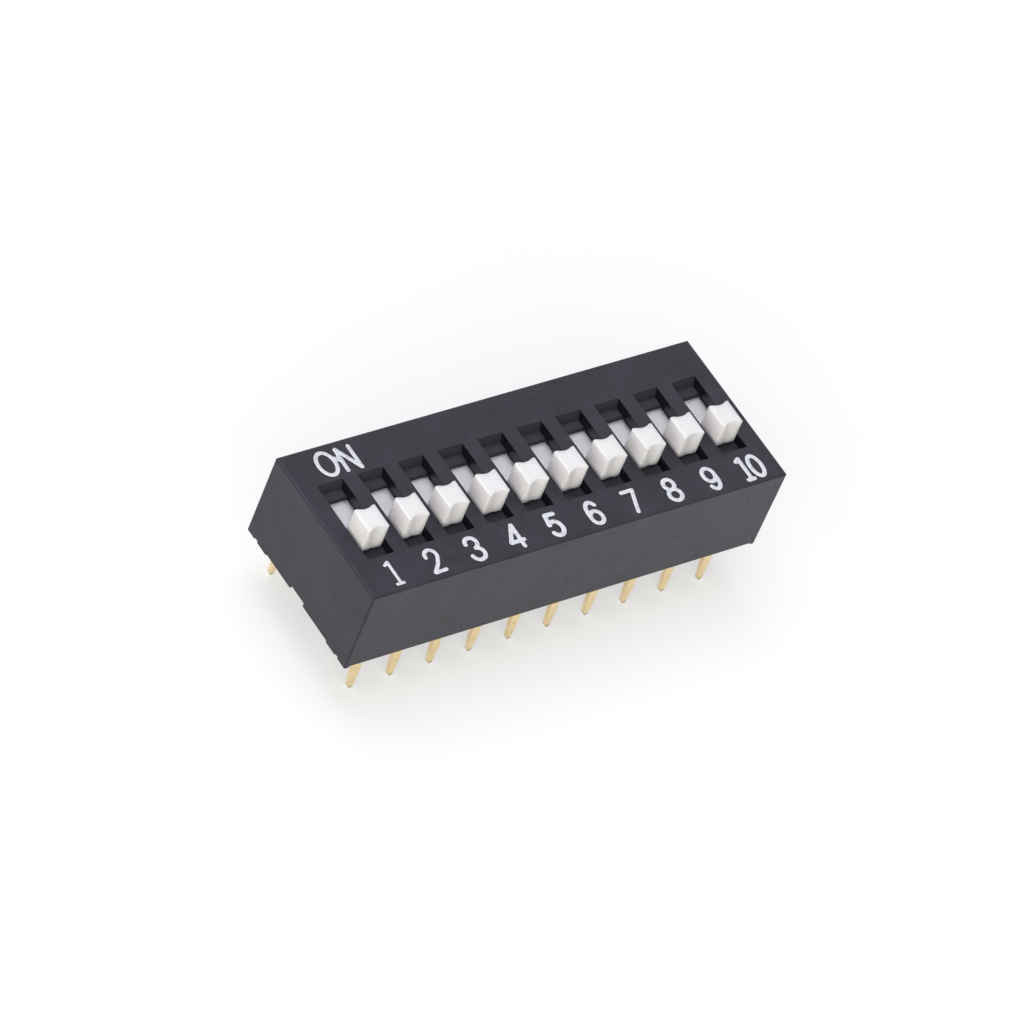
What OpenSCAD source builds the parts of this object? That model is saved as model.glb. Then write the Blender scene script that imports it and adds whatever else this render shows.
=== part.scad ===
// Slide DIP switch with raised sliders, for a 2.54 mm grid with two rows of pins.
//
// Frame: the origin is the middle of the pin field on the board's surface. X runs along the poles from
// pole 1 to the last one, Y from the OFF side (front) to the ON side (back), and Z up from the board.
// The sliders are drawn at OFF.

/* [Pin field] */
// Number of switches in the row
poles = 10; // [2:1:12]
// Spacing of the poles, and of the pins in a row
pitch = 2.54; // [2.5:0.01:3.2]
// Distance between the two rows of pins at the board
row_spacing = 7.62; // [7.5:0.01:10.5]
// Length of a pin below the board's surface
pin_length = 3.27; // [2.5:0.01:5]
// Outward lean of the pins, which grips the board's holes
pin_splay = 3.5; // [0:0.5:6]

/* [Case] */
// Height of the case above the board
case_h = 5.65; // [4.8:0.05:7]
// Case beyond the pin rows, front and back
row_margin = 1.14; // [1.05:0.01:1.6]
// Case beyond half a pitch outside the end poles
end_margin = 0.65; // [0.5:0.01:1.5]
// Thickness of the long walls
side_wall = 0.7; // [0.5:0.01:0.8]
// Rounding of the outer edges
edge_r = 0.1; // [0.05:0.01:0.2]
// Height of the feet that lift the walls off the board
foot_h = 0.11; // [0.05:0.01:0.3]

/* [Pockets] */
// Width of a pocket along the row
pocket_w = 1.63; // [1.5:0.01:1.8]
// Depth of a pocket below the case's top
pocket_d = 0.62; // [0.3:0.01:0.8]
// Thickness of the ledges at a pocket's ends
ledge_t = 0.31; // [0.2:0.01:0.5]
// Length of the back ledge; the front one runs on under the knob by the foot's set-back
ledge_l = 0.54; // [0.3:0.01:0.8]
// Run of the sloped end walls over the pocket's depth
end_slope = 0.18; // [0:0.01:0.3]

/* [Slider] */
// Travel from OFF to ON
travel = 2; // [1.2:0.05:2.1]
// Knob width along the row
knob_w = 1.3; // [1:0.01:1.4]
// Knob length along the travel
knob_l = 1.54; // [1.2:0.01:1.7]
// Height of the knob above the case's top
knob_h = 1.24; // [0.5:0.01:2]
// Depth of the tool scoops in the knob's front and back, at the top
scoop_d = 0.16; // [0.1:0.01:0.25]
// Width of the tool scoops at the top
scoop_w = 1; // [0.6:0.01:1.1]
// Depth of the tool scoops where they run out above the foot
scoop_end_d = 0.04; // [0.02:0.01:0.08]
// Set-back of the knob's foot, which lets its front overhang the front ledge
foot_back = 0.3; // [0.1:0.01:0.4]
// Height of the overhang above the ledges
foot_gap = 0.26; // [0.1:0.01:0.4]
// Rounding of the knob's edges
knob_r = 0.08; // [0.03:0.01:0.12]
// Flange width along the row
flange_w = 2; // [1.8:0.01:2.1]
// Flange thickness
flange_t = 0.55; // [0.4:0.01:0.7]
// Width of the boss that drives the contact
boss_w = 1.1; // [0.9:0.01:1.2]
// Length of the boss
boss_l = 1.4; // [1:0.01:1.6]
// Height of the boss below the flange
boss_h = 0.6; // [0.4:0.01:0.8]
// Diameter of the stake through the contact
stake_d = 0.5; // [0.3:0.01:0.6]

/* [Moving contact] */
// Thickness of the spring strip
contact_t = 0.12; // [0.08:0.01:0.15]
// Width of the spring strip
contact_w = 1.2; // [0.9:0.01:1.3]
// Height of the sprung strip, from its foot to its flat middle
contact_h = 0.85; // [0.7:0.01:1]
// Slope of the spring arms
arm_slope = 42; // [35:1:50]
// Width of the slit that parts the fingers of a foot
finger_slit = 0.2; // [0.1:0.01:0.4]

/* [Terminals] */
// Thickness of the terminal strip
terminal_t = 0.25; // [0.2:0.01:0.3]
// Width of the pads inside
pad_w = 1.1; // [0.9:0.01:1.2]
// Width of a pin
pin_w = 0.5; // [0.4:0.01:0.6]
// Width of a pin at its tip
pin_tip_w = 0.26; // [0.15:0.01:0.35]
// Length over which a pin narrows to its tip
pin_taper = 1.1; // [0.5:0.01:2]
// Pad beyond the foot that rests on it at ON
pad_cover = 0.55; // [0.3:0.01:0.8]
// Open distance between a foot at OFF and the next pad
open_gap = 0.5; // [0.3:0.01:0.7]

/* [Base] */
// Base underside above the board
base_lift = 0.2; // [0.12:0.01:0.4]
// Width of the trough under each slider
trough_w = 1.5; // [1.4:0.01:1.6]
// Depth of the wells round the pins in the underside
well_d = 0.25; // [0.1:0.01:0.4]
// Reach of the snap ridges past the base's sides
snap_reach = 0.12; // [0.05:0.01:0.2]

/* [Clearances] */
// Running clearance of the sliders, above, below and on each side
run_gap = 0.03; // [0.02:0.01:0.05]
// Flange to its channel on each side
channel_gap = 0.05; // [0.03:0.01:0.08]
// Free way left at each stop
stop_gap = 0.1; // [0.05:0.01:0.2]
// Base to case on each side
fit_gap = 0.04; // [0.02:0.01:0.08]
// Terminals in their seats, contact feet over their pads, and contacts on their bosses and stakes
seat_gap = 0.01; // [0.005:0.001:0.02]

/* [Hidden] */
function names(stem) = [for (n = [1 : poles]) str(stem, n)];
$fn = 48;

BLACK = "#26262a";
WHITE = "#efece6";
GOLD = "#d0a651";
BRONZE = "#c99a5b";

// Case outline and cavity
channel_w = flange_w + 2 * channel_gap;
rib_w = pitch - channel_w;
case_l = poles * pitch + 2 * end_margin;
case_w = row_spacing + 2 * row_margin;
cavity_l = poles * pitch - rib_w;
cavity_w = case_w - 2 * side_wall;

// Feet under the case: at the corners, and one more near each end of the end walls
corner_foot_l = 0.28;
corner_foot_w = 0.73;
foot_space = 0.27;
inner_foot_w = 0.9;
notch_w = 1.32;
notch_h = 0.35;

// Slider along its travel
off_y = -travel / 2;
stop_y = (knob_l + travel) / 2 + stop_gap;
slot_l = 2 * stop_y - foot_back;
flange_l = cavity_w - travel - 2 * stop_gap;

// Heights above the board, from the top down
plate_z = case_h - pocket_d - ledge_t;
flange_z1 = plate_z - run_gap;
flange_z0 = flange_z1 - flange_t;
rail_z = flange_z0 - run_gap;
boss_z = flange_z0 - boss_h;
foot_z = boss_z - contact_h;
deck_z = foot_z - seat_gap;

// Moving contact: bend radii on the strip's middle line, and the way out to its feet
flat_l = boss_l + 0.1;
knee_r = 0.2;
foot_r = 0.25;
tail_l = 0.12;
arm_drop = contact_h - contact_t - (knee_r + foot_r) * (1 - cos(arm_slope));
arm_l = arm_drop / sin(arm_slope);
foot_y = flat_l / 2 + (knee_r + foot_r) * sin(arm_slope) + arm_l * cos(arm_slope);
contact_l = 2 * (foot_y + foot_r * sin(arm_slope) + (tail_l + contact_t) * cos(arm_slope));
head_d = stake_d + 0.3;
head_h = 0.12;

// Terminals: bend radius on the strip's middle line, and where the pads end
bend_r = 0.275;
pin_y = row_spacing / 2;
front_pad_y = -(foot_y - travel / 2) + pad_cover;
back_pad_y = foot_y - travel / 2 + open_gap;

// Base
trough_l = contact_l + travel + 2 * stop_gap;
base_l = cavity_l - 2 * fit_gap;
base_w = cavity_w - 2 * fit_gap;
base_chamfer = 0.15;
well_w = pin_w + 0.4;
well_l = terminal_t + 0.3;
recess_w = row_spacing - 2.4;
recess_d = 0.35;

// Snap ridges, in every second space between the poles
snap_l = 1.2;
snap_z = 0.75;
snap_h = 0.45;
snap_gap = 0.03;

cut = 0.5; // how far a cutting shape runs past the face it opens

function pole_x(n) = (n - (poles + 1) / 2) * pitch;
function snap_xs() = [for (n = [1.5 : 2 : poles]) pole_x(n)];

// ---- Shared shapes ----

// Rectangle about the origin with round corners
module round_rect(size, r) {
    square([size.x - 2 * r, size.y], center = true);
    square([size.x, size.y - 2 * r], center = true);
    for (x = [-1, 1], y = [-1, 1])
        translate([x * (size.x / 2 - r), y * (size.y / 2 - r)]) circle(r);
}

// Block that stands on z = 0 about the Z axis, rounded at its upright and upper edges
module round_top(size, r) {
    full_h = size.z + r;
    mid_z = size.z - full_h / 2;
    intersection() {
        linear_extrude(size.z) round_rect([size.x, size.y], r);
        translate([0, 0, mid_z])
            rotate([90, 0, 0]) linear_extrude(size.y, center = true) round_rect([size.x, full_h], r);
        translate([0, 0, mid_z]) across(size.x) round_rect([size.y, full_h], r);
    }
}

// Block from z0 to z1 about the Z axis
module slab(l, w, z0, z1) {
    translate([-l / 2, -w / 2, z0]) cube([l, w, z1 - z0]);
}

// Profile in the YZ plane, extruded along X to both sides of the YZ plane
module across(width) {
    rotate([90, 0, 90]) linear_extrude(width, center = true) children();
}

// Flat sector of a bend that starts at the origin along +X, with r on the strip's middle line
module bend(turn, r, t) {
    side = sign(turn);
    reach = 4 * (r + t);
    start = -90 * side;
    translate([0, side * r])
        intersection() {
            difference() {
                circle(r + t / 2);
                circle(r - t / 2);
            }
            polygon([
                [0, 0],
                reach * [cos(start), sin(start)],
                reach * [cos(start + turn / 2), sin(start + turn / 2)],
                reach * [cos(start + turn), sin(start + turn)]
            ]);
        }
}

// Side view of a bent strip that starts at the origin along +X.
// Each step is [straight length, turn in degrees, bend radius]; the last step has no bend.
module strip(steps, t, i = 0) {
    step = steps[i];
    translate([0, -t / 2]) square([step[0], t]);
    if (i < len(steps) - 1)
        translate([step[0], 0]) {
            bend(step[1], step[2], t);
            translate(step[2] * [sin(abs(step[1])), sign(step[1]) * (1 - cos(step[1]))])
                rotate(step[1])
                    strip(steps, t, i + 1);
        }
}

// ---- Case ----

module case() {
    color(BLACK)
        difference() {
            round_top([case_l, case_w, case_h], edge_r);
            difference() {
                slab(cavity_l, cavity_w, -cut, plate_z);
                ribs();
            }
            for (n = [1 : poles]) translate([pole_x(n), 0, 0]) pocket();
            for (side = [-1, 1], x = snap_xs()) translate([x, 0, 0]) snap(side, snap_gap);
            foot_cuts();
        }
}

// Ribs that part the channels and hold the flanges sideways
module ribs() {
    for (n = [1 : poles - 1])
        translate([pole_x(n + 0.5), 0, 0]) slab(rib_w, cavity_w + cut, rail_z + run_gap, plate_z + cut);
}

// Pocket with sloped ends, its slot between the ledges, and the relief over the flange
module pocket() {
    foot = stop_y + ledge_l;
    floor_z = case_h - pocket_d;
    top = foot + end_slope * (1 + cut / pocket_d);
    across(pocket_w)
        polygon([[-foot, floor_z], [foot, floor_z], [top, case_h + cut], [-top, case_h + cut]]);
    translate([0, stop_y - slot_l / 2, 0]) {
        slab(pocket_w, slot_l, plate_z - cut, floor_z + cut);
        slab(channel_w, slot_l, plate_z - cut, floor_z);
    }
}

// Cuts between the feet in the lower edge of the walls, and the pry notch in each end wall
module foot_cuts() {
    between_corners = case_w - 2 * corner_foot_w;
    outside_inner = between_corners - 2 * foot_space;
    between_inner = outside_inner - 2 * inner_foot_w;
    slab(case_l - 2 * corner_foot_l, case_w + cut, -cut, foot_h);
    slab(case_l + cut, between_inner, -cut, foot_h);
    difference() {
        slab(case_l + cut, between_corners, -cut, foot_h);
        slab(case_l + 2 * cut, outside_inner, -2 * cut, 2 * foot_h);
    }
    slab(case_l + cut, notch_w, -cut, notch_h);
}

// ---- Base ----

module base() {
    color(BLACK)
        difference() {
            union() {
                base_block();
                for (side = [-1, 1], x = snap_xs()) translate([x, 0, 0]) snap(side, 0);
            }
            for (n = [1 : poles])
                translate([pole_x(n), 0, 0]) {
                    slab(trough_w, trough_l, deck_z, rail_z + cut);
                    terminal_shape(back_pad_y, seat_gap);
                    mirror([0, 1, 0]) terminal_shape(front_pad_y, seat_gap);
                    for (side = [-1, 1])
                        translate([0, side * pin_y, 0]) slab(well_w, well_l, 0, base_lift + well_d);
                }
            slab(base_l - 2 * side_wall, recess_w, 0, base_lift + recess_d);
        }
}

// Block with its upper edges chamfered, to lead into the case
module base_block() {
    half = base_w / 2;
    intersection() {
        slab(base_l, base_w, base_lift, rail_z);
        across(base_l)
            polygon([
                [-half, base_lift], [half, base_lift], [half, rail_z - base_chamfer],
                [half - base_chamfer, rail_z], [base_chamfer - half, rail_z], [-half, rail_z - base_chamfer]
            ]);
    }
}

// Snap ridge on one long side, flat below and ramped above; grown by gap it is the case's pocket
module snap(side, gap) {
    root = base_w / 2 - cut / 4;
    tip = base_w / 2 + snap_reach + gap;
    scale([1, side, 1])
        across(snap_l + 2 * gap)
            polygon([
                [root, snap_z - gap], [tip, snap_z - gap],
                [tip, snap_z + 0.1 + gap], [root, snap_z + snap_h + gap]
            ]);
}

// ---- Slider ----

module slider(n) {
    color(WHITE)
        translate([pole_x(n), off_y, 0]) {
            knob();
            slab(flange_w, flange_l, flange_z0, flange_z1);
            slab(boss_w, boss_l, boss_z, flange_z0);
            stake();
        }
}

// Knob with a scoop for a tool tip in its front and back, fading downward, and a set-back foot
module knob() {
    scoop_r = (pow(scoop_w / 2, 2) + pow(scoop_d, 2)) / (2 * scoop_d);
    root_z = flange_z1 - flange_t / 2;
    foot_z1 = case_h - pocket_d + foot_gap;
    knob_z = case_h + knob_h;
    scoop_lean = atan((scoop_d - scoop_end_d) / (knob_z - foot_z1));
    difference() {
        translate([0, 0, root_z]) round_top([knob_w, knob_l, knob_z - root_z], knob_r);
        for (side = [-1, 1])
            scale([1, side, 1])
                translate([0, knob_l / 2 - scoop_d, knob_z])
                    rotate([scoop_lean, 0, 0])
                        translate([0, scoop_r, 0])
                            cylinder(h = 2 * (knob_z - root_z), r = scoop_r, center = true);
        translate([0, -knob_l / 2, 0]) slab(knob_w + cut, 2 * foot_back, flange_z1, foot_z1);
    }
}

// Stake through the contact, with the head formed on it
module stake() {
    head_z = boss_z - contact_t - seat_gap;
    translate([0, 0, head_z - head_h]) {
        cylinder(h = head_h, d = head_d);
        cylinder(h = boss_z - head_z + head_h, d = stake_d);
    }
}

// ---- Moving contact ----

module contact(n) {
    steps = [[flat_l / 2, -arm_slope, knee_r], [arm_l, 2 * arm_slope, foot_r], [tail_l]];
    slit_z1 = boss_z - contact_t - knee_r / 2;
    color(BRONZE)
        translate([pole_x(n), off_y, 0])
            difference() {
                translate([0, 0, boss_z - seat_gap / 2 - contact_t / 2])
                    for (side = [-1, 1])
                        scale([1, side, 1]) across(contact_w) strip(steps, contact_t);
                translate([0, 0, foot_z]) cylinder(h = contact_h + cut, d = stake_d + 2 * seat_gap);
                for (side = [-1, 1])
                    translate([0, side * (foot_y + knee_r), 0])
                        slab(finger_slit, 2 * (foot_y - boss_l / 2), foot_z - cut, slit_z1);
            }
}

// ---- Terminals ----

module terminal_front(n) {
    color(GOLD) translate([pole_x(n), 0, 0]) mirror([0, 1, 0]) terminal_shape(front_pad_y, 0);
}

module terminal_back(n) {
    color(GOLD) translate([pole_x(n), 0, 0]) terminal_shape(back_pad_y, 0);
}

// Pad, bend and pin of a back terminal; grown by gap on every side it is the seat in the base
module terminal_shape(pad_y, gap) {
    t = terminal_t + 2 * gap;
    splay_r = 0.4;
    splay_z = base_lift - 0.02;
    shoulder = 0.3;
    steps = [
        [pin_y - bend_r - pad_y + gap, -90, bend_r],
        [deck_z - terminal_t / 2 - bend_r - splay_z, pin_splay, splay_r],
        [(pin_length + splay_z) / cos(pin_splay) + cut]
    ];
    plan_w = pad_w + 2 * gap;
    slim_w = pin_w + 2 * gap;
    neck_y = trough_l / 2 - shoulder;
    tip_z = -pin_length - gap;
    intersection() {
        translate([0, pad_y - gap, deck_z - terminal_t / 2]) across(plan_w) strip(steps, t);
        union() {
            translate([0, 0, deck_z - terminal_t - bend_r])
                linear_extrude(2 * terminal_t + bend_r)
                    polygon([
                        [-plan_w / 2, pad_y - cut], [plan_w / 2, pad_y - cut],
                        [plan_w / 2, neck_y], [slim_w / 2, neck_y + shoulder],
                        [-slim_w / 2, neck_y + shoulder], [-plan_w / 2, neck_y]
                    ]);
            translate([0, neck_y, 0])
                rotate([90, 0, 0])
                    mirror([0, 0, 1])
                        linear_extrude(row_spacing) pin_front_view(slim_w, tip_z, deck_z + t);
        }
    }
}

// Front view of a pin from its round tip up to z1
module pin_front_view(w, tip_z, z1) {
    tip_r = pin_tip_w / 2;
    taper_z = tip_z + pin_taper;
    translate([-w / 2, taper_z]) square([w, z1 - taper_z]);
    polygon([[-tip_r, tip_z + tip_r], [tip_r, tip_z + tip_r], [w / 2, taper_z], [-w / 2, taper_z]]);
    translate([0, tip_z + tip_r]) circle(tip_r);
}

// ---- Nodes ----

case();
base();
for (n = [1 : poles]) {
    slider(n);
    contact(n);
    terminal_front(n);
    terminal_back(n);
}
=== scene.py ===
"""Looks of a ten-pole slide DIP switch: black case and base, white sliders, gilt pins and printed signs.

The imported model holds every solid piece. This script dresses those pieces, prints the signs on the top of the
case, and sets up the studio. A length whose name ends in _mm is in millimetres, as are the points of the pen
strokes, and any other length is in metres.
"""

import logging
import math
from dataclasses import dataclass, field
from enum import Enum
from itertools import pairwise

import bpy
from mathutils import Matrix, Vector


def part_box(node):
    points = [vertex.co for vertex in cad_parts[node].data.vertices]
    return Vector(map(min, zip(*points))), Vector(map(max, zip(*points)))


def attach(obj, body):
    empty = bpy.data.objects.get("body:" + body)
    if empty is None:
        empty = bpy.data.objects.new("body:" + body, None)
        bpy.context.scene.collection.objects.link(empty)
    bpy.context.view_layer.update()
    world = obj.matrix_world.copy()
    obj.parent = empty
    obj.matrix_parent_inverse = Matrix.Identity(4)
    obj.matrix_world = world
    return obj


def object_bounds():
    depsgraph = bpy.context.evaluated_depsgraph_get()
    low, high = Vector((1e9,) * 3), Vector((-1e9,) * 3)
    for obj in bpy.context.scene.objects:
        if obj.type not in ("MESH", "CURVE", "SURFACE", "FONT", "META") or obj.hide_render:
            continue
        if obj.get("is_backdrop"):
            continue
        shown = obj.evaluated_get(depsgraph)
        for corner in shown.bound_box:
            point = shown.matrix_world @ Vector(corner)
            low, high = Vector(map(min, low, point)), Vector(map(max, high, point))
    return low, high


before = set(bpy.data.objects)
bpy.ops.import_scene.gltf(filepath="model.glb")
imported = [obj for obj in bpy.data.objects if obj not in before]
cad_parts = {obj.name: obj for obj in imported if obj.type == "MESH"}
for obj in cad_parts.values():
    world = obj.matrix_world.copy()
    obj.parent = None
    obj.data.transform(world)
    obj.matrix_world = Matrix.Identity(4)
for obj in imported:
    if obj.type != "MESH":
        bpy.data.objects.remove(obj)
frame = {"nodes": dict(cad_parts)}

log = logging.getLogger("dip_switch")

MM = 0.001
WHITE = "#ffffff"

Colour = tuple[float, float, float, float]
Point = tuple[float, float]
Tree = bpy.types.NodeTree
Socket = bpy.types.NodeSocket
Settings = dict[str | int, object]
Links = dict[str | int, Socket]
Piece = bpy.types.Object

# Nearly all of a noise pattern lies between these values.
NOISE_RANGE = (0.3, 0.7)
# A noise pattern rises from its middle to its peaks between these values.
NOISE_PEAKS = (0.45, 0.75)

# Sockets of a Mix node, which go by number because their names repeat.
MIX_FACTOR = 0
COLOUR_A, COLOUR_B, COLOUR_OUT = 6, 7, 2
FLOAT_A, FLOAT_B, FLOAT_OUT = 2, 3, 0


# ---- Small helpers ----


def linear(code: str) -> Colour:
    """Turns an sRGB hex code into a linear colour.

    Args:
        code: The colour as "#rrggbb".

    Returns:
        Red, green, blue and alpha, linear, from 0 to 1.
    """
    parts = [int(code[i : i + 2], 16) / 255 for i in (1, 3, 5)]
    red, green, blue = (p / 12.92 if p <= 0.04045 else ((p + 0.055) / 1.055) ** 2.4 for p in parts)
    return red, green, blue, 1.0


def per_size(size_mm: float) -> float:
    """Scale of a pattern on coordinates in metres, for features of this size."""
    return 1.0 / (size_mm * MM)


def add(
    tree: Tree, kind: str, settings: Settings | None = None, links: Links | None = None
) -> bpy.types.Node:
    """Adds one node with its settings and its incoming links.

    Args:
        tree: The tree that gets the node.
        kind: The node's type.
        settings: Values by property name, or by the name or number of an input.
        links: Source sockets by the name or number of the input that each feeds.

    Returns:
        The new node.
    """
    node = tree.nodes.new(kind)
    for name, value in (settings or {}).items():
        if isinstance(name, str) and hasattr(node, name):
            setattr(node, name, value)
        else:
            node.inputs[name].default_value = value
    for name, source in (links or {}).items():
        tree.links.new(source, node.inputs[name])
    return node


def new_material(name: str) -> tuple[bpy.types.Material, Tree]:
    """Makes an empty node material.

    Args:
        name: Its name.

    Returns:
        The material and its tree.
    """
    material = bpy.data.materials.new(name)
    material.use_nodes = True
    material.node_tree.nodes.clear()
    return material, material.node_tree


def looking_rays(tree: Tree) -> Socket:
    """Finds the rays that show a thing, as against those that only carry its light.

    Args:
        tree: The tree that gets the nodes.

    Returns:
        1 on camera, glossy and transmission rays, and 0 on all others.
    """
    ray = add(tree, "ShaderNodeLightPath").outputs
    looking = ray["Is Camera Ray"]
    for other in ("Is Glossy Ray", "Is Transmission Ray"):
        either = add(tree, "ShaderNodeMath", {"operation": "MAXIMUM"}, {0: looking, 1: ray[other]})
        looking = either.outputs["Value"]
    return looking


def deselect() -> None:
    """Deselects every object."""
    bpy.ops.object.select_all(action="DESELECT")


def pick(*objects: Piece) -> None:
    """Selects only these objects, and makes the first one active.

    Args:
        objects: The objects.
    """
    deselect()
    for piece in objects:
        piece.select_set(True)
    bpy.context.view_layer.objects.active = objects[0]


def modify(piece: Piece, kind: str, **settings: object) -> None:
    """Adds a modifier to a piece and applies it.

    Args:
        piece: The piece.
        kind: The modifier's type.
        settings: Values by property name.
    """
    pick(piece)
    bpy.ops.object.modifier_add(type=kind)
    modifier = piece.modifiers[-1]
    for name, value in settings.items():
        setattr(modifier, name, value)
    bpy.ops.object.modifier_apply(modifier=modifier.name)


# ---- Finishes ----


@dataclass(frozen=True)
class Pockets:
    """Where the pockets of a case lie: their floors and end slopes are eroded rough and painted paler than the
    case, which is painted light, and their sides are polished.

    Attributes:
        half_row_mm: X beyond which there is no pocket.
        half_length_mm: Y of their rims.
        rim_mm: Height of their rims.
        matt: Painted light on the floors and end slopes: a paler colour than the case's own, which stands in
            for the light that reaches them.
        matt_rough: Roughness of the floors and end slopes.
        polished: Colour of the sides.
        polished_rough: Roughness of the sides.
        upright: How squarely a surface faces along X, from 0 to 1, if it is a side.
    """

    half_row_mm: float
    half_length_mm: float
    rim_mm: float
    matt: str = "#36353c"
    matt_rough: float = 0.8
    polished: str = "#17151b"
    polished_rough: float = 0.24
    upright: float = 0.7

    def masks(self, tree: Tree) -> tuple[Socket, Socket]:
        """Finds the pockets' surfaces.

        Args:
            tree: The material's tree.

        Returns:
            1 on the floors and end slopes, and 1 on the sides, and 0 elsewhere.
        """
        source = add(tree, "ShaderNodeTexCoord")
        place = add(tree, "ShaderNodeSeparateXYZ", links={"Vector": source.outputs["Object"]})
        facing = add(tree, "ShaderNodeSeparateXYZ", links={"Vector": source.outputs["Normal"]})
        tests = []
        for axis, limit_mm in (("X", self.half_row_mm), ("Y", self.half_length_mm), ("Z", self.rim_mm)):
            size = add(tree, "ShaderNodeMath", {"operation": "ABSOLUTE"}, {0: place.outputs[axis]})
            near = {"operation": "LESS_THAN", 1: limit_mm * MM}
            tests.append(add(tree, "ShaderNodeMath", near, {0: size.outputs[0]}).outputs[0])
        inside, *others = tests
        for test in others:
            both = add(tree, "ShaderNodeMath", {"operation": "MULTIPLY"}, {0: inside, 1: test})
            inside = both.outputs[0]
        turned = add(tree, "ShaderNodeMath", {"operation": "ABSOLUTE"}, {0: facing.outputs["X"]})
        steep = {"operation": "GREATER_THAN", 1: self.upright}
        upright = add(tree, "ShaderNodeMath", steep, {0: turned.outputs[0]})
        sides = add(tree, "ShaderNodeMath", {"operation": "MULTIPLY"}, {0: inside, 1: upright.outputs[0]})
        # The floors and end slopes, which get the paler colour of painted light.
        floors = add(tree, "ShaderNodeMath", {"operation": "SUBTRACT"}, {0: inside, 1: sides.outputs[0]})
        return floors.outputs[0], sides.outputs[0]


@dataclass(frozen=True)
class MouldedPlastic:
    """An opaque moulded plastic, with soft flow marks in its colour and the fine grain of an eroded mould.

    Attributes:
        name: The material's name.
        deep: Colour of most of the surface.
        pale: Colour of the flow marks.
        shine: Tint of the reflection, which carbon black turns faintly violet.
        flow_mm: Size of the flow marks.
        flow_detail: How many finer octaves the flow marks have.
        flow_rough: How strong those octaves are.
        flow_edges: Noise values at which the marks are deepest and palest.
        grain_mm: Size of the grain. Real grain is several times finer, and is drawn coarser to show.
        grain_depth_mm: Depth of the grain.
        rough: Lowest and highest roughness.
        ior: Index of refraction.
        pockets: Its pockets, if it has any.
    """

    name: str
    deep: str
    pale: str
    shine: str = "#efe9ff"
    flow_mm: float = 2.5
    flow_detail: float = 6.0
    flow_rough: float = 0.8
    flow_edges: tuple[float, float] = (0.35, 0.65)
    grain_mm: float = 0.14
    grain_depth_mm: float = 0.004
    rough: tuple[float, float] = (0.3, 0.42)
    ior: float = 1.5
    pockets: Pockets | None = None

    def make(self) -> bpy.types.Material:
        """Builds the material.

        Returns:
            The material.
        """
        material, tree = new_material(self.name)
        where = add(tree, "ShaderNodeTexCoord").outputs["Object"]
        flow = add(
            tree,
            "ShaderNodeTexNoise",
            {"Scale": per_size(self.flow_mm), "Detail": self.flow_detail, "Roughness": self.flow_rough},
            {"Vector": where},
        )
        marks = add(
            tree,
            "ShaderNodeMapRange",
            {"From Min": self.flow_edges[0], "From Max": self.flow_edges[1]},
            {"Value": flow.outputs["Fac"]},
        )
        tint = add(
            tree,
            "ShaderNodeMix",
            {"data_type": "RGBA", COLOUR_A: linear(self.deep), COLOUR_B: linear(self.pale)},
            {MIX_FACTOR: marks.outputs["Result"]},
        ).outputs[COLOUR_OUT]
        grain = add(tree, "ShaderNodeTexNoise", {"Scale": per_size(self.grain_mm)}, {"Vector": where})
        low, high = NOISE_RANGE
        rough = add(
            tree,
            "ShaderNodeMapRange",
            {"From Min": low, "From Max": high, "To Min": self.rough[0], "To Max": self.rough[1]},
            {"Value": grain.outputs["Fac"]},
        ).outputs["Result"]
        if self.pockets:
            floors, sides = self.pockets.masks(tree)
            # Painted light: the floors and end slopes get a paler colour that stands in for the light reaching
            # them, and a rough finish; the sides get a polished finish.
            for mask, colour, value in (
                (floors, self.pockets.matt, self.pockets.matt_rough),
                (sides, self.pockets.polished, self.pockets.polished_rough),
            ):
                tint = add(
                    tree,
                    "ShaderNodeMix",
                    {"data_type": "RGBA", COLOUR_B: linear(colour)},
                    {MIX_FACTOR: mask, COLOUR_A: tint},
                ).outputs[COLOUR_OUT]
                rough = add(
                    tree,
                    "ShaderNodeMix",
                    {"data_type": "FLOAT", FLOAT_B: value},
                    {MIX_FACTOR: mask, FLOAT_A: rough},
                ).outputs[FLOAT_OUT]
        bump = add(
            tree,
            "ShaderNodeBump",
            {"Distance": self.grain_depth_mm * MM},
            {"Height": grain.outputs["Fac"]},
        )
        shader = add(
            tree,
            "ShaderNodeBsdfPrincipled",
            {"IOR": self.ior, "Specular Tint": linear(self.shine)},
            {"Base Color": tint, "Roughness": rough, "Normal": bump.outputs["Normal"]},
        )
        add(tree, "ShaderNodeOutputMaterial", links={"Surface": shader.outputs["BSDF"]})
        return material


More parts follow.
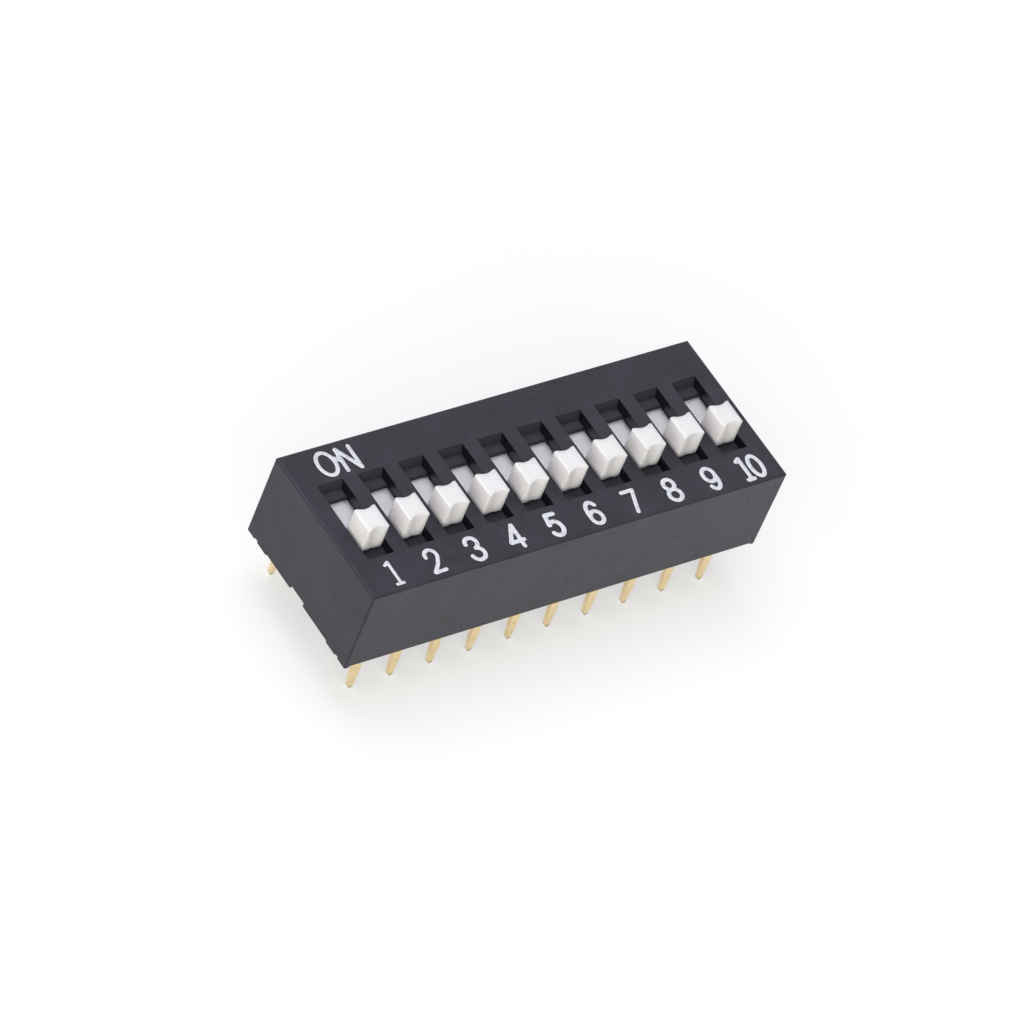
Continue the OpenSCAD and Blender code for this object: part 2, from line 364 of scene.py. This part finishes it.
@dataclass(frozen=True)
class WhiteAcetal:
    """Natural white acetal, moulded smooth.

    Attributes:
        name: The material's name.
        clear: Colour where the plastic is clearest.
        milky: Colour of its clouds.
        cloud_mm: Size of the clouds.
        cloud_detail: How many finer octaves they have.
        draw_mm: Width of the marks that the mould draws. Real ones are finer, and are drawn coarser to show.
        draw_stretch: Width of those marks over their length, which runs up the opening mould.
        draw_depth_mm: Depth of those marks.
        rough: Lowest and highest roughness.
        ior: Index of refraction.
        depth_mm: How far light goes in.
        spread: How far red, green and blue go in, as shares of that depth.
    """

    name: str = "acetal_white_moulded"
    clear: str = "#fff6ff"
    milky: str = "#fbf1fb"
    cloud_mm: float = 0.9
    cloud_detail: float = 3.0
    draw_mm: float = 0.05
    draw_stretch: float = 0.06
    draw_depth_mm: float = 0.002
    rough: tuple[float, float] = (0.5, 0.64)
    ior: float = 1.48
    depth_mm: float = 0.5
    spread: tuple[float, float, float] = (1.0, 0.94, 0.88)

    def make(self) -> bpy.types.Material:
        """Builds the material.

        Returns:
            The material.
        """
        material, tree = new_material(self.name)
        where = add(tree, "ShaderNodeTexCoord").outputs["Object"]
        cloud = add(
            tree,
            "ShaderNodeTexNoise",
            {"Scale": per_size(self.cloud_mm), "Detail": self.cloud_detail},
            {"Vector": where},
        )
        tint = add(
            tree,
            "ShaderNodeMix",
            {"data_type": "RGBA", COLOUR_A: linear(self.clear), COLOUR_B: linear(self.milky)},
            {MIX_FACTOR: cloud.outputs["Fac"]},
        )
        upward = add(tree, "ShaderNodeMapping", {"Scale": (1.0, 1.0, self.draw_stretch)}, {"Vector": where})
        draw = add(
            tree,
            "ShaderNodeTexNoise",
            {"Scale": per_size(self.draw_mm)},
            {"Vector": upward.outputs["Vector"]},
        )
        low, high = NOISE_RANGE
        rough = add(
            tree,
            "ShaderNodeMapRange",
            {"From Min": low, "From Max": high, "To Min": self.rough[0], "To Max": self.rough[1]},
            {"Value": draw.outputs["Fac"]},
        )
        bump = add(
            tree, "ShaderNodeBump", {"Distance": self.draw_depth_mm * MM}, {"Height": draw.outputs["Fac"]}
        )
        shader = add(
            tree,
            "ShaderNodeBsdfPrincipled",
            {
                "IOR": self.ior,
                "Subsurface Weight": 1.0,
                "Subsurface Radius": self.spread,
                "Subsurface Scale": self.depth_mm * MM,
            },
            {
                "Base Color": tint.outputs[COLOUR_OUT],
                "Roughness": rough.outputs["Result"],
                "Normal": bump.outputs["Normal"],
            },
        )
        add(tree, "ShaderNodeOutputMaterial", links={"Surface": shader.outputs["BSDF"]})
        return material


@dataclass(frozen=True)
class PlatedStrip:
    """Rolled and plated metal strip, with fine rolling lines along its length and thin clouds in its plating.

    Attributes:
        name: The material's name.
        bright: Colour of the plating.
        dull: Colour of the plating where it is thin.
        cloud_mm: Size of the thin places.
        cloud_detail: How many finer octaves they have.
        wear: How dull the thinnest place is, from 0 to 1.
        line_mm: Width of the rolling lines. Real ones are finer, and are drawn coarser to show.
        line_stretch: Width of those lines over their length.
        line_depth_mm: Depth of those lines.
        rough: Lowest and highest roughness.
        tip_z_mm: Heights between which the plating ends, from clean down to bare, or None.
        bare: Colour of the sheared tip, where the plating has not taken.
    """

    name: str
    bright: str
    dull: str
    cloud_mm: float = 0.5
    cloud_detail: float = 3.0
    wear: float = 0.6
    line_mm: float = 0.05
    line_stretch: float = 0.08
    line_depth_mm: float = 0.001
    rough: tuple[float, float] = (0.28, 0.42)
    tip_z_mm: tuple[float, float] | None = None
    bare: str = "#bdb49a"

    def make(self) -> bpy.types.Material:
        """Builds the material.

        Returns:
            The material.
        """
        material, tree = new_material(self.name)
        where = add(tree, "ShaderNodeTexCoord").outputs["Object"]
        cloud = add(
            tree,
            "ShaderNodeTexNoise",
            {"Scale": per_size(self.cloud_mm), "Detail": self.cloud_detail},
            {"Vector": where},
        )
        middle, peak = NOISE_PEAKS
        worn = add(
            tree,
            "ShaderNodeMapRange",
            {"From Min": middle, "From Max": peak, "To Max": self.wear},
            {"Value": cloud.outputs["Fac"]},
        )
        tint = add(
            tree,
            "ShaderNodeMix",
            {"data_type": "RGBA", COLOUR_A: linear(self.bright), COLOUR_B: linear(self.dull)},
            {MIX_FACTOR: worn.outputs["Result"]},
        ).outputs[COLOUR_OUT]
        if self.tip_z_mm:
            height = add(tree, "ShaderNodeSeparateXYZ", links={"Vector": where}).outputs["Z"]
            clean, bare = (z * MM for z in self.tip_z_mm)
            tip = add(tree, "ShaderNodeMapRange", {"From Min": clean, "From Max": bare}, {"Value": height})
            tint = add(
                tree,
                "ShaderNodeMix",
                {"data_type": "RGBA", COLOUR_B: linear(self.bare)},
                {MIX_FACTOR: tip.outputs["Result"], COLOUR_A: tint},
            ).outputs[COLOUR_OUT]
        slow = self.line_stretch
        along = add(tree, "ShaderNodeMapping", {"Scale": (1.0, slow, slow)}, {"Vector": where})
        lines = add(
            tree,
            "ShaderNodeTexNoise",
            {"Scale": per_size(self.line_mm)},
            {"Vector": along.outputs["Vector"]},
        )
        low, high = NOISE_RANGE
        rough = add(
            tree,
            "ShaderNodeMapRange",
            {"From Min": low, "From Max": high, "To Min": self.rough[0], "To Max": self.rough[1]},
            {"Value": lines.outputs["Fac"]},
        )
        bump = add(
            tree, "ShaderNodeBump", {"Distance": self.line_depth_mm * MM}, {"Height": lines.outputs["Fac"]}
        )
        shader = add(
            tree,
            "ShaderNodeBsdfPrincipled",
            {"Metallic": 1.0},
            {"Base Color": tint, "Roughness": rough.outputs["Result"], "Normal": bump.outputs["Normal"]},
        )
        add(tree, "ShaderNodeOutputMaterial", links={"Surface": shader.outputs["BSDF"]})
        return material


@dataclass(frozen=True)
class PrintingInk:
    """White epoxy ink from a printing pad, thin enough in places for the black to grey it.

    Attributes:
        name: The material's name.
        full: Colour where the ink covers.
        thin: Colour where the black shows through.
        patch_mm: Size of the thin places.
        patch_detail: How many finer octaves they have.
        patch_rough: How strong those octaves are.
        patch_depth_mm: How much lower the thin places lie.
        rough: Roughness.
        ior: Index of refraction.
    """

    name: str = "epoxy_ink_white"
    full: str = "#e8eaf1"
    thin: str = "#b9bcc6"
    patch_mm: float = 0.16
    patch_detail: float = 4.0
    patch_rough: float = 0.6
    patch_depth_mm: float = 0.003
    rough: float = 0.5
    ior: float = 1.5

    def make(self) -> bpy.types.Material:
        """Builds the material.

        Returns:
            The material.
        """
        material, tree = new_material(self.name)
        where = add(tree, "ShaderNodeTexCoord").outputs["Object"]
        patch = add(
            tree,
            "ShaderNodeTexNoise",
            {"Scale": per_size(self.patch_mm), "Detail": self.patch_detail, "Roughness": self.patch_rough},
            {"Vector": where},
        )
        middle, peak = NOISE_PEAKS
        cover = add(
            tree,
            "ShaderNodeMapRange",
            {"From Min": middle, "From Max": peak},
            {"Value": patch.outputs["Fac"]},
        )
        tint = add(
            tree,
            "ShaderNodeMix",
            {"data_type": "RGBA", COLOUR_A: linear(self.full), COLOUR_B: linear(self.thin)},
            {MIX_FACTOR: cover.outputs["Result"]},
        )
        bump = add(
            tree, "ShaderNodeBump", {"Distance": self.patch_depth_mm * MM}, {"Height": patch.outputs["Fac"]}
        )
        shader = add(
            tree,
            "ShaderNodeBsdfPrincipled",
            {"IOR": self.ior, "Roughness": self.rough},
            {"Base Color": tint.outputs[COLOUR_OUT], "Normal": bump.outputs["Normal"]},
        )
        add(tree, "ShaderNodeOutputMaterial", links={"Surface": shader.outputs["BSDF"]})
        return material


class Finish(Enum):
    """The finishes of this object's pieces. A CAD node's name starts with the name of its finish."""

    # Black polyester from an eroded mould: a soft sheen with no image in it. Its pocket floors are rougher and
    # painted greyer, which is painted light, and its polished pocket sides, which lie just below the case's
    # top, are blacker.
    CASE = MouldedPlastic(
        "pbt_black_moulded",
        deep="#060609",
        pale="#22222b",
        pockets=Pockets(half_row_mm=13.0, half_length_mm=2.58, rim_mm=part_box("case")[1].z / MM - 0.02),
    )
    # The same plastic with glass in it: the fibres near its skin make it greyer and a little coarser.
    BASE = MouldedPlastic(
        "pbt_black_glass_filled", deep="#0e0e12", pale="#1c1c22", grain_mm=0.18, grain_depth_mm=0.006
    )
    # White acetal: light goes a little way in, which softens its edges and fills its shadows.
    SLIDER = WhiteAcetal()
    # Bare rolled bronze: a warm, brushed gleam along the strip.
    CONTACT = PlatedStrip("phosphor_bronze_rolled", bright="#d9b27c", dull="#b98b58")
    # A gold flash on brass strip: pale yellow and half bright, and greyish where the tips were sheared.
    TERMINAL = PlatedStrip("gold_flash_on_brass", bright="#f4deb0", dull="#dac398", tip_z_mm=(-3.0, -3.2))
    # Matt white ink, faintly blotched where it lies thin on the black.
    INK = PrintingInk()


class Paintbox:
    """Makes each finish's material once, and puts it on pieces."""

    def __init__(self) -> None:
        """Starts with no material made."""
        self._made: dict[Finish, bpy.types.Material] = {}

    def coat(self, piece: Piece, finish: Finish) -> None:
        """Gives a piece one finish all over.

        Args:
            piece: The piece.
            finish: Its finish.
        """
        if finish not in self._made:
            self._made[finish] = finish.value.make()
        piece.data.materials.clear()
        piece.data.materials.append(self._made[finish])


# ---- Printed signs ----


@dataclass(frozen=True)
class Line:
    """A straight pen stroke, in millimetres from the sign's foot."""

    start: Point
    end: Point

    def path(self) -> list[Point]:
        """The stroke's points."""
        return [self.start, self.end]


@dataclass(frozen=True)
class Arc:
    """A pen stroke along an ellipse.

    Attributes:
        centre: Its centre, in millimetres from the sign's foot.
        radii: Its radii across and up, in millimetres.
        first: Angle of its first point, in degrees. A whole turn is the default.
        last: Angle of its last point, in degrees.
        step: Angle between its points, in degrees.
    """

    centre: Point
    radii: Point
    first: float = 0.0
    last: float = 360.0
    step: float = 10.0

    def path(self) -> list[Point]:
        """Works out the stroke's points.

        Returns:
            The points, from the first angle to the last.
        """
        turn = math.radians(self.last - self.first)
        count = max(4, round(abs(turn) / math.radians(self.step)))
        angles = [math.radians(self.first) + turn * i / count for i in range(count + 1)]
        (x, y), (across, up) = self.centre, self.radii
        return [(x + across * math.cos(a), y + up * math.sin(a)) for a in angles]


STROKES: dict[str, tuple[Line | Arc, ...]] = {
    "0": (Arc((0.0, 0.75), (0.36, 0.72)),),
    "1": (
        Line((-0.19, 1.34), (0.05, 1.5)),
        Line((0.06, 1.5), (0.06, 0.02)),
        Line((-0.18, 0.0), (0.23, 0.0)),
    ),
    "2": (
        Arc((0.03, 1.11), (0.36, 0.39), 186, -28),
        Line((0.348, 0.927), (0.12, 0.5)),
        Line((0.12, 0.5), (-0.33, 0.02)),
        Line((-0.33, 0.0), (0.37, 0.03)),
    ),
    "3": (
        Arc((0.04, 1.13), (0.36, 0.37), 180, -70),
        Arc((0.06, 0.38), (0.4, 0.4), 78, -172),
    ),
    "4": (
        Line((0.25, 1.5), (-0.36, 0.42)),
        Line((-0.36, 0.4), (0.47, 0.43)),
        Line((0.28, 1.5), (0.27, 0.02)),
    ),
    "5": (
        Line((0.38, 1.45), (-0.13, 1.47)),
        Line((-0.13, 1.47), (-0.24, 0.8)),
        Arc((0.06, 0.49), (0.38, 0.48), 140, -150),
    ),
    "6": (
        Arc((0.09, 0.43), (0.36, 0.43)),
        Arc((0.11, 0.8), (0.38, 0.68), 40, 180),
        Line((-0.27, 0.8), (-0.27, 0.43)),
    ),
    "7": (
        Line((-0.27, 1.45), (0.46, 1.46)),
        Line((0.46, 1.46), (0.2, 0.72)),
        Line((0.2, 0.72), (-0.02, 0.02)),
    ),
    "8": (
        Arc((0.1, 1.12), (0.32, 0.36)),
        Arc((0.1, 0.38), (0.38, 0.39)),
    ),
    "9": (
        Arc((0.12, 1.0), (0.36, 0.46)),
        Line((0.48, 1.0), (0.485, 0.62)),
        Arc((0.13, 0.62), (0.355, 0.62), 0, -142),
    ),
    "N": (
        Line((0.0, 1.45), (-0.02, 0.02)),
        Line((0.03, 1.47), (0.82, 0.0)),
        Line((0.83, 1.47), (0.835, 0.0)),
    ),
    "O": (Arc((0.0, 0.75), (0.515, 0.76)),),
}


@dataclass(frozen=True)
class Letter:
    """One character of a sign, and how far it is set from the sign's foot, in millimetres."""

    shape: str
    shift: Point = (0.0, 0.0)


@dataclass(frozen=True)
class Sign:
    """A sign printed on the case.

    Attributes:
        name: The piece's name.
        letters: Its characters.
        foot_mm: Place of its foot on the case's top.
        pen_mm: Radius of its strokes.
        share: Its printed width and height, as shares of the drawn ones.
        runs: Strokes besides its characters, where the ink has run.
    """

    name: str
    letters: tuple[Letter, ...]
    foot_mm: Point
    pen_mm: float = 0.127
    share: Point = (0.96, 0.965)
    runs: tuple[Line | Arc, ...] = ()

    def paths(self) -> list[list[Point]]:
        """Works out the sign's strokes.

        Returns:
            The points of each stroke, in millimetres from the sign's foot.
        """
        strokes = [(run, (0.0, 0.0)) for run in self.runs]
        for letter in self.letters:
            strokes += [(stroke, letter.shift) for stroke in STROKES[letter.shape]]
        wide, high = self.share
        return [
            [((x + across) * wide, (y + up) * high) for x, y in stroke.path()]
            for stroke, (across, up) in strokes
        ]


@dataclass
class Printing:
    """The signs on the case's top: a number at each pole, and the word ON at the far side.

    Attributes:
        top: Height of the case's top.
        poles: Number of poles.
        pitch_mm: Spacing of the poles.
        word_foot_mm: Place of the word's foot.
        number_foot_mm: Y of the numbers' foot line.
        pair_mm: How far along X the two digits of a number are set from its foot.
        drop_mm: How far below that line the pad sets the last numbers, by pole.
        pen_mm: Pens of the numbers that the pad prints finer or bolder than the rest, by pole.
        film_mm: Thickness of the ink.
        join: Points that lie nearer than this share of the pen's radius are one.
        bar_steps: Fineness of a stroke's round section.
        dome_steps: Fineness of a stroke's domed ends.
        voxel_mm: Grid in which the strokes flow together.
        smooth_factor: How far one pass moves a point to round the seams between the strokes.
        smooth_passes: Number of those passes.
        kept_faces: Share of its faces that a sign keeps.
        cut_tolerance_mm: Points within this distance of the cut through a sign's middle lie on it.
        crease: Edges bent by more than this many degrees stay sharp.
    """

    top: float
    poles: int
    pitch_mm: float
    word_foot_mm: Point = (-10.92, 2.96)
    number_foot_mm: float = -4.51
    pair_mm: Point = (-0.26, 0.556)
    drop_mm: dict[int, float] = field(default_factory=lambda: {8: 0.02, 9: 0.04, 10: 0.09})
    pen_mm: dict[int, float] = field(default_factory=lambda: {1: 0.095, 2: 0.115, 5: 0.138, 7: 0.12})
    film_mm: float = 0.02
    join: float = 0.1
    bar_steps: int = 4
    dome_steps: int = 3
    voxel_mm: float = 0.02
    smooth_factor: float = 0.5
    smooth_passes: int = 6
    kept_faces: float = 0.25
    cut_tolerance_mm: float = 1e-4
    crease: float = 60.0

    def signs(self) -> list[Sign]:
        """Lays out the signs.

        Returns:
            The word, and then the numbers in their order along the case.
        """
        word = Sign(
            "sign_on",
            (Letter("O"), Letter("N", (0.93, 0.0))),
            self.word_foot_mm,
            pen_mm=0.121,
            share=(1.0, 1.0),
            runs=(Line((0.52, 0.78), (0.91, 0.98)), Line((0.52, 1.0), (0.93, 0.7))),
        )
        numbers = []
        for pole in range(1, self.poles + 1):
            digits = str(pole)
            shifts = self.pair_mm if len(digits) == 2 else (0.0,)
            letters = tuple(Letter(digit, (shift, 0.0)) for digit, shift in zip(digits, shifts))
            across = (pole - (self.poles + 1) / 2) * self.pitch_mm
            up = self.number_foot_mm - self.drop_mm.get(pole, 0.0)
            numbers.append(Sign(f"sign_{pole}", letters, (across, up), self.pen_mm.get(pole, Sign.pen_mm)))
        return [word, *numbers]

    def dome(self, place: Point, radius_mm: float) -> Piece:
        """Makes the ball that domes a stroke's end, drawn with a metre for each millimetre.

        Args:
            place: The stroke's end.
            radius_mm: The pen's radius.

        Returns:
            The ball.
        """
        deselect()
        bpy.ops.mesh.primitive_ico_sphere_add(
            subdivisions=self.dome_steps, radius=radius_mm, location=(*place, 0.0)
        )
        return bpy.context.object

    def stroke(self, path: list[Point], radius_mm: float) -> Piece:
        """Makes one stroke, a round bar with domed ends, drawn with a metre for each millimetre.

        Args:
            path: The stroke's points. A path that ends where it starts is closed.
            radius_mm: The pen's radius.

        Returns:
            The bar, along the plane Z = 0.
        """
        same = radius_mm * self.join
        closed = math.dist(path[0], path[-1]) < same
        deselect()
        bpy.ops.mesh.primitive_plane_add(size=radius_mm, location=(*path[0], 0.0))
        bar = bpy.context.object
        bpy.ops.object.transform_apply(location=True)
        bpy.ops.object.mode_set(mode="EDIT")
        bpy.ops.mesh.merge(type="CENTER")
        for before, after in pairwise(path):
            step = (after[0] - before[0], after[1] - before[1], 0.0)
            bpy.ops.mesh.extrude_vertices_move(TRANSFORM_OT_translate={"value": step})
        bpy.ops.mesh.select_all(action="SELECT")
        bpy.ops.mesh.remove_doubles(threshold=same)
        bpy.ops.object.mode_set(mode="OBJECT")
        bpy.ops.object.convert(target="CURVE")
        bar.data.bevel_depth = radius_mm
        bar.data.bevel_resolution = self.bar_steps
        bar.data.use_fill_caps = True
        bpy.ops.object.convert(target="MESH")
        if not closed:
            domes = [self.dome(end, radius_mm) for end in (path[0], path[-1])]
            pick(bar, *domes)
            bpy.ops.object.join()
        return bar

    def print_sign(self, sign: Sign) -> Piece:
        """Prints one sign: its strokes flow together and are pressed flat on the case's top.

        Args:
            sign: The sign.

        Returns:
            The finished piece, with its place in its mesh.
        """
        bars = [self.stroke(path, sign.pen_mm) for path in sign.paths()]
        piece = bars[0]
        pick(*bars)
        bpy.ops.object.join()
        modify(piece, "REMESH", mode="VOXEL", voxel_size=self.voxel_mm, use_smooth_shade=True)
        modify(piece, "SMOOTH", factor=self.smooth_factor, iterations=self.smooth_passes)
        modify(piece, "DECIMATE", ratio=self.kept_faces)
        # The lower half is cut off, which leaves rounded strokes with a flat foot.
        pick(piece)
        bpy.ops.object.mode_set(mode="EDIT")
        bpy.ops.mesh.select_all(action="SELECT")
        bpy.ops.mesh.bisect(
            plane_co=(0, 0, 0),
            plane_no=(0, 0, 1),
            use_fill=True,
            clear_inner=True,
            threshold=self.cut_tolerance_mm,
        )
        bpy.ops.object.mode_set(mode="OBJECT")
        # The sign shrinks to millimetres as it goes to its place, and is pressed down to the film's thickness.
        across, up = sign.foot_mm
        piece.matrix_world = Matrix.LocRotScale(
            Vector((across * MM, up * MM, self.top)),
            None,
            Vector((MM, MM, MM * self.film_mm / sign.pen_mm)),
        )
        bpy.ops.object.transform_apply(location=True, rotation=True, scale=True)
        bpy.ops.object.shade_smooth_by_angle(angle=math.radians(self.crease))
        piece.name = sign.name
        piece.data.name = sign.name
        return piece

    def build(self, paint: Paintbox) -> None:
        """Prints every sign, inks it, and lets it ride on the housing.

        Args:
            paint: Holds the ink.
        """
        for sign in self.signs():
            piece = self.print_sign(sign)
            paint.coat(piece, Finish.INK)
            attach(piece, "housing")
            log.info("printed %s, %d faces", piece.name, len(piece.data.polygons))


# ---- CAD pieces ----


@dataclass
class Mechanism:
    """The solid pieces, which keep their shapes and get their finishes here."""

    nodes: dict[str, Piece]

    @property
    def poles(self) -> int:
        """Number of poles, each with its own slider."""
        return sum(name.startswith("slider_") for name in self.nodes)

    @property
    def pitch_mm(self) -> float:
        """Spacing of the poles, to a thousandth of a millimetre."""
        return round((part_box("slider_2")[0].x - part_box("slider_1")[0].x) / MM, 3)

    def dress(self, paint: Paintbox) -> None:
        """Gives each piece the finish of its kind.

        Args:
            paint: Holds the finishes.
        """
        for name, piece in self.nodes.items():
            kind = name.split("_")[0]
            paint.coat(piece, Finish[kind.upper()])
        log.info("dressed %d solid pieces", len(self.nodes))


# ---- Studio ----


@dataclass(frozen=True)
class Lamp:
    """A square soft box that faces the object.

    Attributes:
        name: The lamp's name.
        towards: Direction from the object to the lamp.
        side: Length of its side.
        level: How bright a white face that looks at it gets from it, 1 for full white.
        colour: Colour of its light.
        distance: How far away it hangs.
    """

    name: str
    towards: tuple[float, float, float]
    side: float
    level: float
    colour: str
    distance: float = 0.5

    def hang(self) -> None:
        """Hangs the lamp."""
        deselect()
        way = Vector(self.towards).normalized()
        bpy.ops.object.light_add(type="AREA", location=way * self.distance)
        lamp = bpy.context.object
        lamp.name = self.name
        lamp.rotation_euler = way.to_track_quat("Z", "Y").to_euler()
        lamp.data.size = self.side
        # A far area lamp of this energy lights a white face that looks at it to the level.
        lamp.data.energy = self.level * math.pi**2 * self.distance**2
        lamp.data.color = linear(self.colour)[:3]


@dataclass
class Studio:
    """A pale floor, soft lamps, a white surround and the camera.

    Attributes:
        floor_z: Height of the floor.
        floor_side: Length of the floor's side.
        floor_glow: How much light the floor adds of its own where it is looked at, 1 for full white.
        paper: Colour of the floor.
        sky: Light from the surround, 1 for full white.
        camera_place_mm: Place of the camera.
        camera_turn: Its turns about X, Y and Z, in degrees.
        lens_mm: Its focal length.
        sensor_mm: Width of its sensor.
        clip: Nearest and farthest distance that it sees.
        lamps: The lamps. Cool light falls from above, and warm light comes in low from the left and front.
    """

    floor_z: float
    floor_side: float = 6.0
    floor_glow: float = 0.53
    paper: str = "#c4c4c4"
    sky: float = 0.27
    camera_place_mm: tuple[float, float, float] = (-201.315, -166.883, 264.922)
    camera_turn: tuple[float, float, float] = (42.2556, -16.6242, -32.8354)
    lens_mm: float = 248.939
    sensor_mm: float = 36.0
    clip: tuple[float, float] = (0.01, 20.0)
    lamps: tuple[Lamp, ...] = (
        Lamp("lamp_above", (-0.1, 0.25, 1.0), side=0.4, level=0.52, colour="#f2f4ff"),
        Lamp("lamp_left", (-1.0, -0.4, 0.38), side=0.6, level=0.59, colour="#fffcf1"),
        Lamp("lamp_front", (-0.7, -1.0, 0.38), side=0.6, level=0.63, colour="#fffcf1"),
    )

    def set_world(self) -> None:
        """Lights the object from all around, and shows white behind it and in its reflections."""
        world = bpy.data.worlds.new("surround")
        bpy.context.scene.world = world
        world.use_nodes = True
        tree = world.node_tree
        tree.nodes.clear()
        light = add(tree, "ShaderNodeBackground", {"Color": linear(WHITE), "Strength": self.sky})
        white = add(tree, "ShaderNodeBackground", {"Color": linear(WHITE), "Strength": 1.0})
        both = add(
            tree,
            "ShaderNodeMixShader",
            links={0: looking_rays(tree), 1: light.outputs["Background"], 2: white.outputs["Background"]},
        )
        add(tree, "ShaderNodeOutputWorld", links={"Surface": both.outputs["Shader"]})

    def floor_material(self) -> bpy.types.Material:
        """Builds the floor's pale paper: it takes the object's shadow, and is seen from above only.

        Returns:
            The material.
        """
        material, tree = new_material("pale_paper")
        glow = add(
            tree, "ShaderNodeMath", {"operation": "MULTIPLY", 1: self.floor_glow}, {0: looking_rays(tree)}
        )
        paper = add(tree, "ShaderNodeBsdfDiffuse", {"Color": linear(self.paper)})
        shine = add(tree, "ShaderNodeEmission", links={"Strength": glow.outputs["Value"]})
        lit = add(
            tree, "ShaderNodeAddShader", links={0: paper.outputs["BSDF"], 1: shine.outputs["Emission"]}
        )
        clear = add(tree, "ShaderNodeBsdfTransparent")
        below = add(tree, "ShaderNodeNewGeometry").outputs["Backfacing"]
        sheet = add(
            tree,
            "ShaderNodeMixShader",
            links={0: below, 1: lit.outputs["Shader"], 2: clear.outputs["BSDF"]},
        )
        add(tree, "ShaderNodeOutputMaterial", links={"Surface": sheet.outputs["Shader"]})
        return material

    def lay_floor(self) -> None:
        """Lays the floor under the pins."""
        deselect()
        bpy.ops.mesh.primitive_plane_add(size=self.floor_side, location=(0.0, 0.0, self.floor_z))
        floor = bpy.context.object
        floor.name = "floor"
        floor.data.materials.append(self.floor_material())
        floor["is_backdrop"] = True

    def place_camera(self) -> None:
        """Places the camera and makes it the scene's own."""
        deselect()
        place = Vector(self.camera_place_mm) * MM
        turn = [math.radians(angle) for angle in self.camera_turn]
        bpy.ops.object.camera_add(location=place, rotation=turn)
        camera = bpy.context.object
        camera.data.sensor_width = self.sensor_mm
        camera.data.lens = self.lens_mm
        camera.data.clip_start = self.clip[0]
        camera.data.clip_end = self.clip[1]
        bpy.context.scene.camera = camera

    def set_up(self) -> None:
        """Sets up the whole studio."""
        bpy.context.scene.view_settings.view_transform = "Standard"
        self.set_world()
        self.lay_floor()
        for lamp in self.lamps:
            lamp.hang()
        self.place_camera()
        log.info("studio with %d lamps", len(self.lamps))


def main() -> None:
    """Builds everything in order, and lays the floor at the lowest point of the model."""
    logging.basicConfig(level=logging.INFO, format="%(name)s: %(message)s")
    cad_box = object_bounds()
    paint = Paintbox()
    Studio(floor_z=cad_box[0].z).set_up()
    switch = Mechanism(frame["nodes"])
    switch.dress(paint)
    Printing(top=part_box("case")[1].z, poles=switch.poles, pitch_mm=switch.pitch_mm).build(paint)


if __name__ == "__main__":
    main()
